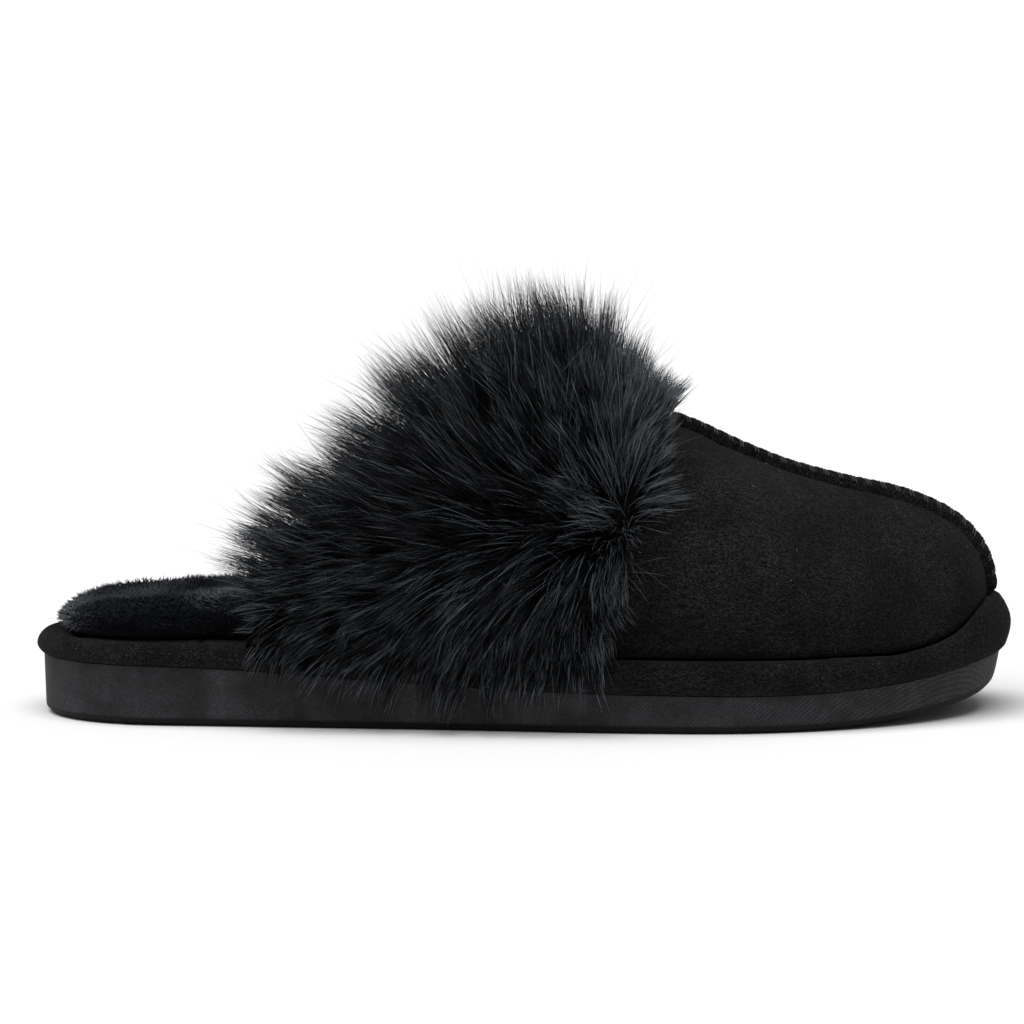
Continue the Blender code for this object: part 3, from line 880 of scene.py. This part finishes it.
def plant(name, hairs, radius, cuts, material):
    """Plants one spike for each hair."""
    corners, triangles = spike(cuts)
    count = len(hairs["root"])
    faces = triangles[None] + (np.arange(count) * len(corners))[:, None, None]
    mesh = bpy.data.meshes.new(name)
    mesh.vertices.add(count * len(corners))
    mesh.loops.add(faces.size)
    mesh.loops.foreach_set("vertex_index", faces.reshape(-1).astype(np.int32))
    mesh.polygons.add(count * len(triangles))
    mesh.polygons.foreach_set("loop_start", (np.arange(count * len(triangles)) * 3).astype(np.int32))
    set_corners(mesh, planted_corners(hairs, corners, radius))
    mesh.update(calc_edges=True)
    tone_and_sheen = mesh.attributes.new("tone_and_sheen", "FLOAT", "POINT")
    tone_and_sheen.data.foreach_set("value", np.repeat(hairs["tone_and_sheen"], len(corners)).astype(np.float32))
    mesh.shade_smooth()
    return new_piece(name, mesh, material)


print("one hair with two cuts:", len(spike((0.35, 0.7))[1]), "triangles")

# %% [markdown]
# ### Roots
#
# Roots are scattered over a piece by area, on the triangles that a rule picks. Neighbouring hairs lean
# together in real cloth, so slow random waves over the surface are handy too.


# %% Scattering roots on a piece
SWIRL_WAVES = 6
SWIRL_TURN = 6.28


def scatter(piece, count, wanted, dice):
    """Random places on the faces for which wanted(middles, normals) is true, and their normals."""
    mesh = piece.data
    mesh.calc_loop_triangles()
    corner = np.empty(len(mesh.loop_triangles) * 3, dtype=np.int32)
    mesh.loop_triangles.foreach_get("vertices", corner)
    spots = corners_of(mesh)[0][corner.reshape(-1, 3)]
    across = np.cross(spots[:, 1] - spots[:, 0], spots[:, 2] - spots[:, 0])
    normal = unit(across)
    weight = np.linalg.norm(across, axis=1) * wanted(spots.mean(axis=1), normal)
    chosen = dice.choice(len(spots), size=count, p=weight / weight.sum())
    u, v = dice.random(count), dice.random(count)
    over = u + v > 1
    u[over], v[over] = 1 - u[over], 1 - v[over]
    first, second, third = spots[chosen, 0], spots[chosen, 1], spots[chosen, 2]
    return first + (second - first) * u[:, None] + (third - first) * v[:, None], normal[chosen]


def swirl(root, reach, dice):
    """Slow random waves over a surface: three numbers between about -1 and 1 for each root."""
    waves = np.zeros_like(root)
    for _ in range(SWIRL_WAVES):
        turn = dice.normal(size=(3, 3))
        waves += np.sin(root @ turn / reach + dice.random(3) * SWIRL_TURN)
    return waves * 2 / SWIRL_WAVES


# %% [markdown]
# ## Pile of the footbed and the lining
#
# Plush is knitted with loops that are cut and brushed. Its tufts are only a few millimetres long and lean
# all ways in small swirls, which crumple the footbed. Its silvery look from a low angle is painted sheen in
# the tone of the tufts: pale at the heel's end and along its top, nearly black on the side where the tufts
# point at the eye.

# %% Fibre material
FIBRE_PATCH = 11 * MM


def hair_material(name, dark, light, roughness, gloss):
    """A glossy fibre whose colour follows the tone stored with each hair, painted sheen and highlights
    included.
    """
    hair = new_material(name, dark, roughness, Specular_IOR_Level=gloss)
    tone_and_sheen = add_node(hair, "Attribute", attribute_name="tone_and_sheen").outputs["Fac"]
    patches = step_up(hair, grain(hair, FIBRE_PATCH, 2.0), 0.3, 0.7, 0.7, 1.0)
    colour_with(hair, blend_colours(hair, product(hair, tone_and_sheen, patches), dark, light))
    return hair


# Its pale colour is the painted sheen of the tufts.
pile_fibre = hair_material("plush_pile", (0.0007, 0.0010, 0.0018), (0.112, 0.121, 0.138), 0.6, 0.06)

# %% Pile
PILE_SWIRL = 6 * MM
PILE_PATCH = 9 * MM
PILE_RADIUS = 0.14 * MM
PILE_SUNK = 0.2 * MM
PILE_UPRIGHT = 0.8
PILE_LEAN = 1.1
PILE_LOOSE = 0.35
PILE_SAG = 0.2
# Painted sheen of the pile: pale at the heel's end and on faces that look up.
PAINTED_SHEEN_END = 26 * MM
PAINTED_SHEEN_TOP = 0.8
PAINTED_SHEEN_SHARE = 0.38
PAINTED_SHEEN_UNEVEN = 0.40


def pile_of(piece, count, wanted, length, dice):
    root, normal = scatter(piece, count, wanted, dice)
    lean = swirl(root, PILE_SWIRL, dice) * PILE_LEAN + dice.normal(size=root.shape) * PILE_LOOSE
    way = unit(normal * PILE_UPRIGHT + lean * np.array([1.0, 1.0, 0.35]))
    size = length * dice.uniform(0.65, 1.25, count)
    # Painted sheen: tufts at the heel's end and on faces that look up are painted pale.
    heel_end = hump(root[:, 0], footbed_low.x, PAINTED_SHEEN_END)
    top = np.clip(normal[:, 2], 0, 1) ** 2
    patches = swirl(root, PILE_PATCH, dice)[:, 0]
    painted_sheen = np.maximum(heel_end, PAINTED_SHEEN_TOP * top) * (PAINTED_SHEEN_SHARE + PAINTED_SHEEN_UNEVEN * patches)
    tone_and_sheen = 0.03 + painted_sheen + 0.05 * dice.normal(size=count)
    wide = dice.uniform(0.8, 1.25, count)
    bend = -normal * (size * PILE_SAG)[:, None]
    return hair_rows(root - normal * PILE_SUNK, way, size, bend, wide, np.clip(tone_and_sheen, 0, 1))


# %% Footbed pile
FOOTBED_TUFTS = 19000
FOOTBED_PILE = 2.5 * MM
PILE_TO = 20 * MM
PILE_FOOT = 0.6 * MM


def bare_footbed(middles, normals):
    """The part of the footbed that isn't under the vamp, down to its foot."""
    above_foot = middles[:, 2] > footbed_low.z + PILE_FOOT
    return (middles[:, 0] < PILE_TO) & above_foot & (normals[:, 2] > -0.4)


footbed_hairs = pile_of(footbed, FOOTBED_TUFTS, bare_footbed, FOOTBED_PILE, np.random.default_rng(11))
footbed_pile = plant("footbed_pile", footbed_hairs, PILE_RADIUS, (0.5,), pile_fibre)
finish_piece(footbed_pile)

# %% Lining pile
LINING_TUFTS = 4000
LINING_PILE = 2.4 * MM
LINING_FROM = 36 * MM
LINING_TO = 70 * MM


def lining(middles, normals):
    return ~looks_out(middles, normals) & (middles[:, 2] > LINING_FROM) & (middles[:, 0] < LINING_TO)


lining_hairs = pile_of(vamp, LINING_TUFTS, lining, LINING_PILE, np.random.default_rng(12))
lining_pile = plant("lining_pile", lining_hairs, PILE_RADIUS * 1.3, (0.5,), pile_fibre)
finish_piece(lining_pile)

# %% [markdown]
# ## The fur cuff
#
# The cuff is long faux fur sewn round the opening. Seen close it is three things: a dense dark undercoat
# that hides the cloth, tens of thousands of glossy guard hairs that gather into pointed locks, and a few
# hairs that stray. Pale hairs among them are painted highlights, glints of light on single hairs. The
# undercoat is a copy of the vamp's outer faces behind the line where the fur is sewn on, moved out and
# given a thickness. It needs no likeness to single hairs, it only has to be dark and rough between them.

# %% Where the fur is sewn
FUR_FRONT_LOW = (20 * MM, 23 * MM)
FUR_FRONT_HIGH = (39 * MM, 82 * MM)


def behind_front(places):
    """Which places on the vamp lie behind the line where the fur is sewn on."""
    share = (places[:, 2] - FUR_FRONT_LOW[1]) / (FUR_FRONT_HIGH[1] - FUR_FRONT_LOW[1])
    return places[:, 0] < FUR_FRONT_LOW[0] + (FUR_FRONT_HIGH[0] - FUR_FRONT_LOW[0]) * share


def furry(middles, normals):
    return looks_out(middles, normals) & behind_front(middles)


# %% Undercoat
UNDERCOAT_GAP = 0.4 * MM
UNDERCOAT_DEPTH = 3.0 * MM
UNDERCOAT_TUFT = 1.3 * MM
UNDERCOAT_RELIEF = 1.0 * MM


def undercoat_material():
    coat = new_material("undercoat", (0.0012, 0.0014, 0.0018), 0.95, Specular_IOR_Level=0.04)
    tangle = grain(coat, UNDERCOAT_TUFT, 4.0, 0.7)
    shown = step_up(coat, tangle, 0.4, 0.7)
    colour_with(coat, blend_colours(coat, shown, (0.0006, 0.0007, 0.0010), (0.0040, 0.0043, 0.0050)))
    add_bump(coat, tangle, UNDERCOAT_RELIEF, 0.8)
    return coat


def undercoat_shape():
    bm = merged_copy("upper")
    bmesh.ops.recalc_face_normals(bm, faces=bm.faces)
    middles = np.array([face.calc_center_median() for face in bm.faces])
    normals = np.array([face.normal for face in bm.faces])
    keep = furry(middles, normals)
    bmesh.ops.delete(bm, geom=[face for face, kept in zip(bm.faces, keep) if not kept], context="FACES")
    bm.normal_update()
    for vert, normal in [(vert, vert.normal.copy()) for vert in bm.verts]:
        vert.co += normal * UNDERCOAT_GAP
    bmesh.ops.solidify(bm, geom=bm.faces[:], thickness=-UNDERCOAT_DEPTH)
    return bm


undercoat = new_piece("fur_undercoat", mesh_of("fur_undercoat", undercoat_shape()), undercoat_material())
finish_piece(undercoat, ["fur_cuff"])
coat_places = corners_of(undercoat.data)[0]
print("undercoat reaches, in mm:", [round(float(v) / MM, 1) for v in np.abs(coat_places).max(axis=0)])

# %% [markdown]
# ### How the hair is combed
#
# A chart of a few places on the side of the shoe says which way the hair lies there, how long it is and
# how far it stands off: backwards over the heel opening, down over the sole, up at the top, and short at
# the front edge. Between the places the chart is blended by distance, and where its ways cancel out, as in
# a whorl, each hair stands up and goes its own way. Both sides of the shoe use it.

# %% Comb chart
COMB = (
    # along and height of a root, forward and up parts of the lie, length in mm, lift off in degrees, and
    # how far the tip falls as a share of the length
    (20, 88, -0.06, 1.00, 37, 34, 0.03),
    (0, 80, -0.40, 0.92, 45, 30, 0.04),
    (-12, 66, -0.68, 0.74, 43, 28, 0.05),
    (-28, 56, -0.86, 0.46, 35, 26, 0.10),
    (-45, 45, -0.95, 0.22, 31, 26, 0.12),
    (-62, 36, -1.00, 0.24, 31, 22, 0.08),
    (-64, 28, -0.50, -0.50, 6, 40, 0.16),
    (-42, 26, -0.90, -0.28, 12, 40, 0.22),
    (-22, 26, -0.62, -0.55, 12, 44, 0.30),
    (0, 26, -0.20, -0.80, 10, 46, 0.32),
    (12, 28, 0.25, -0.80, 9, 44, 0.28),
    (22, 31, 0.72, -0.48, 11, 36, 0.18),
    (31, 44, 0.90, -0.34, 18, 26, 0.12),
    (34, 60, 0.96, 0.12, 18, 26, 0.08),
    (33, 71, 0.60, 0.62, 12, 42, 0.05),
    (39, 78, 0.60, 0.60, 9, 44, 0.05),
    (31, 84, 0.20, 0.98, 17, 36, 0.05),
    (20, 72, -0.28, 0.95, 36, 24, 0.05),
    (-2, 63, -0.50, 0.86, 39, 22, 0.05),
    (-8, 52, -0.92, 0.30, 36, 24, 0.12),
    (-26, 40, -0.98, -0.06, 29, 27, 0.18),
    (-10, 42, -0.95, -0.16, 30, 28, 0.18),
    (3, 43, -0.88, -0.36, 27, 30, 0.22),
    (8, 36, -0.46, -0.76, 16, 38, 0.28),
    (22, 56, -0.50, 0.60, 28, 36, 0.08),
    (24, 48, 0.10, -0.60, 20, 40, 0.20),
)
COMB_BLUR = 5 * MM
COMB_NEAR = 1.6
COMB_SWIRL = 14 * MM
COMB_UNEVEN = 0.32
COMB_TANGLE = 0.12
WHORL_LIFT = 45


def comb(root, normal, dice):
    """Direction, length and fall of the hair at each root, read from the chart, a little unevenly."""
    chart = np.array(COMB, dtype=float)
    apart = root[:, None, [0, 2]] - chart[None, :, :2] * MM
    near = 1 / ((apart**2).sum(axis=2) + COMB_BLUR**2) ** COMB_NEAR
    read = (near / near.sum(axis=1)[:, None]) @ chart
    lie = np.stack([read[:, 2], np.zeros(len(root)), read[:, 3]], axis=1)
    agree = np.minimum(np.linalg.norm(lie, axis=1), 1)
    lie = unit(lie + COMB_TANGLE * dice.normal(size=lie.shape))
    lie = unit(lie + COMB_UNEVEN * swirl(root, COMB_SWIRL, dice))
    lie = unit(lie - normal * np.minimum((lie * normal).sum(axis=1), 0)[:, None])
    lift = np.radians(read[:, 5] + WHORL_LIFT * (1 - agree))[:, None]
    length = read[:, 4] * MM
    return unit(lie * np.cos(lift) + normal * np.sin(lift)), length, length * read[:, 6]


print("comb chart:", len(COMB), "places")

# %% [markdown]
# ### Locks and guard hairs
#
# Long fur is never even: hairs cling to their neighbours and end in pointed locks. So about a thousand
# roots are made leaders, each with its own slightly different direction and length. Every hair looks up
# its nearest leader and its tip is drawn most of the way to the leader's tip. Then the hair sags a
# little. Stray hairs are planted the same way, but they don't cling: they are fewer, longer and finely cut,
# because each of them is seen on its own, and more of them are painted pale as highlights.

# %% Guard hairs
LEADERS = 1100
LEADER_TURN = 0.20
LEADER_LENGTH = (0.82, 1.10)
COMB_SEED = 21
HAIR_LOOSE = 0.16
HAIR_LENGTH = (0.76, 1.10)
HAIR_DARK = 0.03
CLING = 0.38
STRAY_LOOSE = 0.5
STRAY_LONGER = 0.14
STRAY_CLING = 0.85
OPENED_FROM = 16 * MM
OPENED_OVER = 12 * MM
OPENED_BELOW = 46 * MM
OPENED_LOW = 0.2
OPENED_PALE = 4.2


def leaders_for(root, way, length, dice):
    """Each hair's leader: its root, direction and length, after a random turn of its own."""
    chosen = dice.choice(len(root), LEADERS, replace=False)
    follows = nearest_in(tree_of_places(root[chosen]), root)[0]
    turned = unit(way[chosen] + dice.normal(size=(LEADERS, 3)) * LEADER_TURN)
    long = length[chosen] * dice.uniform(*LEADER_LENGTH, LEADERS)
    return root[chosen][follows], turned[follows], long[follows]


def fur(count, loose, pale, dice):
    """Hairs for the cuff; loose is how much they go their own way, pale the share of light ones.

    The light ones are painted highlights, glints of light on single hairs. More of them are painted in
    front and low down, where the fur opens.
    """
    root, normal = scatter(vamp, count, furry, dice)
    way, length, fall = comb(root, normal, np.random.default_rng(COMB_SEED))
    lead_root, lead_way, lead_length = leaders_for(root, way, length, dice)
    own = unit(lead_way + way + dice.normal(size=root.shape) * (HAIR_LOOSE + STRAY_LOOSE * loose))
    shortest, longest = HAIR_LENGTH
    size = lead_length * dice.uniform(shortest, longest + STRAY_LONGER * loose, count)
    tip = root + own * size[:, None]
    cling = CLING * (1 - STRAY_CLING * loose) * dice.uniform(0.6, 1.2, count)
    bend = (lead_root + lead_way * lead_length[:, None] - tip) * cling[:, None]
    bend[:, 2] -= fall * dice.uniform(0.7, 1.3, count)
    tone_and_sheen = np.abs(dice.normal(0.0, HAIR_DARK, count))
    opened = np.clip((root[:, 0] - OPENED_FROM) / OPENED_OVER, 0, 1)
    opened += OPENED_LOW * (root[:, 2] < OPENED_BELOW)
    # Painted highlights: a share of the hairs is painted pale, more in front and low down, for glints on
    # single hairs.
    light = dice.random(count) < pale * (1 + OPENED_PALE * opened)
    tone_and_sheen[light] = dice.uniform(0.25, 1.0, light.sum())
    wide = dice.uniform(0.75, 1.25, count)
    return hair_rows(root + normal * UNDERCOAT_GAP, own, size, bend, wide, tone_and_sheen)


# %% Keeping hair off the sole
SOLE_CLEAR = 1.2 * MM
FLOOR_CLEAR = 2.4 * MM
SOLE_REACH = 120 * MM
LOW_TIP = 34 * MM


def clear_of_sole(hairs):
    """Pushes the tips of low hairs out sideways until they hang outside the sole."""
    trees = [tree_of(nodes[name]) for name in ("platform", "outsole")]
    reach = hairs["way"] * hairs["length"][:, None]
    tip = hairs["root"] + reach + hairs["bend"]
    hairs["bend"][:, 2] -= np.minimum(tip[:, 2] - FLOOR_CLEAR, 0)
    for index in np.nonzero(tip[:, 2] < LOW_TIP)[0]:
        side = 1.0 if tip[index, 1] > 0 else -1.0
        for share in (0.45, 0.7, 1.0):
            x, y, z = hairs["root"][index] + reach[index] * share + hairs["bend"][index] * share**2
            out = y
            for tree in trees:
                hit = tree.ray_cast(Vector((x, side * SOLE_REACH, z)), Vector((0, -side, 0)), SOLE_REACH)[0]
                if hit is not None:
                    out = side * max(side * out, side * hit.y + SOLE_CLEAR)
            reach[index, 1] += (out - y) / share
    hairs["length"] = np.linalg.norm(reach, axis=1)
    hairs["way"] = unit(reach)
    return hairs


# %% Planting the cuff
GUARD_HAIRS = 37000
HAIR_PIECES = 4
HAIR_RADIUS = 0.105 * MM
STRAY_HAIRS = 2400
STRAY_RADIUS = 0.075 * MM
# The pale colour is that of the painted highlights on single hairs.
fur_black = hair_material("guard_hair", (0.0008, 0.0012, 0.0019), (0.195, 0.215, 0.24), 0.34, 0.12)
hairs = clear_of_sole(fur(GUARD_HAIRS, 0.0, 0.11, np.random.default_rng(5)))
order = np.argsort(hairs["root"][:, 0])
for number, part in enumerate(np.array_split(order, HAIR_PIECES), 1):
    share = {name: rows[part] for name, rows in hairs.items()}
    locks = plant(f"guard_hair_{number}", share, HAIR_RADIUS, (0.35, 0.7), fur_black)
    finish_piece(locks)
strays = clear_of_sole(fur(STRAY_HAIRS, 1.0, 0.35, np.random.default_rng(6)))
stray_hair = plant("stray_hair", strays, STRAY_RADIUS, (0.2, 0.4, 0.6, 0.8), fur_black)
finish_piece(stray_hair)

# %% [markdown]
# ## Lint
#
# Black suede never stays clean in a photograph: a few pale fibres of a millimetre or two lie on it, most
# of them caught beside the seam. They are hairs too, planted nearly flat.

# %% Lint fibres
LINT_FIBRES = 120
LINT_RADIUS = 0.035 * MM
LINT_FROM_FUR = 4 * MM
LINT_BY_SEAM = 9 * MM
LINT_ELSEWHERE = 0.15
LINT_UPRIGHT = 0.25


def bare_vamp(middles, normals):
    return looks_out(middles, normals) & ~behind_front(middles - np.array([LINT_FROM_FUR, 0, 0]))


def lint_fibres(dice):
    root, normal = scatter(vamp, LINT_FIBRES, bare_vamp, dice)
    near_seam = nearest_in(seam_places, root)[1] < LINT_BY_SEAM
    keep = near_seam | (dice.random(LINT_FIBRES) < LINT_ELSEWHERE)
    root, normal = root[keep], normal[keep]
    count = len(root)
    flat = dice.normal(size=(count, 3))
    way = unit(flat - normal * (flat * normal).sum(axis=1)[:, None] + normal * LINT_UPRIGHT)
    size = dice.uniform(0.4, 1.6, count) * MM
    bend = np.cross(way, normal) * (size * dice.uniform(-0.5, 0.5, count))[:, None]
    return hair_rows(root, way, size, bend, np.ones(count), dice.uniform(0.4, 1.0, count))


lint_pale = hair_material("lint", (0.03, 0.03, 0.03), (0.42, 0.42, 0.40), 0.7, 0.2)
lint = plant("lint", lint_fibres(np.random.default_rng(8)), LINT_RADIUS, (0.3, 0.6, 0.82), lint_pale)
finish_piece(lint)

# %% [markdown]
# ## Floor, light and camera
#
# The slipper stands on a white sweep. An even white surround fills the shadows, and a wide soft light from
# above and in front does the rest, so the top of the vamp is paler than its side and the only shadow is
# the soft one where the sole meets the floor. The camera stands two metres off on the outer side, seven
# degrees above the floor, with a long lens, so the shoe is seen almost flat on.

# %% Floor
FLOOR_SIZE = 40.0
FLOOR_WHITE = (0.88, 0.88, 0.88)
floor_shape = bmesh.new()
bmesh.ops.create_grid(floor_shape, x_segments=1, y_segments=1, size=FLOOR_SIZE / 2)
floor_paint = new_material("floor", FLOOR_WHITE, 1.0, Specular_IOR_Level=0.0)
floor = new_piece("floor", mesh_of("floor", floor_shape), floor_paint)

# %% Lights
SURROUND = 0.24
SKY_STRENGTH = 3.2
SKY_WIDTH = math.radians(70)
SKY_FROM = Vector((-0.22, -0.38, 1.0))
scene = bpy.context.scene
surround = bpy.data.worlds.new("surround")
surround.use_nodes = True
glow = surround.node_tree.nodes["Background"].inputs
glow["Color"].default_value = (1, 1, 1, 1)
glow["Strength"].default_value = SURROUND
scene.world = surround
scene.view_settings.view_transform = "Standard"
sky = bpy.data.lights.new("overhead", "SUN")
sky.energy = SKY_STRENGTH
sky.angle = SKY_WIDTH
sky_holder = bpy.data.objects.new("overhead", sky)
sky_holder.rotation_euler = SKY_FROM.to_track_quat("Z", "Y").to_euler()
scene.collection.objects.link(sky_holder)
print("surround", SURROUND, "overhead", SKY_STRENGTH)

# %% Camera
TARGET = Vector((-3.0 * MM, 0, 54.6 * MM))
CAMERA_AWAY = 2.0
CAMERA_RISE = math.radians(7.0)
FIELD_WIDTH = 280.2 * MM
SENSOR = 36.0
lens = bpy.data.cameras.new("camera")
lens.sensor_width = SENSOR
lens.lens = SENSOR * CAMERA_AWAY / FIELD_WIDTH
lens.clip_end = 100
camera = bpy.data.objects.new("camera", lens)
toward = Vector((0, -math.cos(CAMERA_RISE), math.sin(CAMERA_RISE)))
camera.location = TARGET + toward * CAMERA_AWAY
camera.rotation_euler = toward.to_track_quat("Z", "Y").to_euler()
scene.collection.objects.link(camera)
scene.camera = camera
print("lens in mm:", round(lens.lens, 1))

# %% [markdown]
# ## Finish
#
# The dressed shoe may stand a few millimetres proud of the solids, as fur does, but no more. The last
# line brings the view layer up to date and closes the lesson.

# %% Finish
bpy.context.view_layer.update()
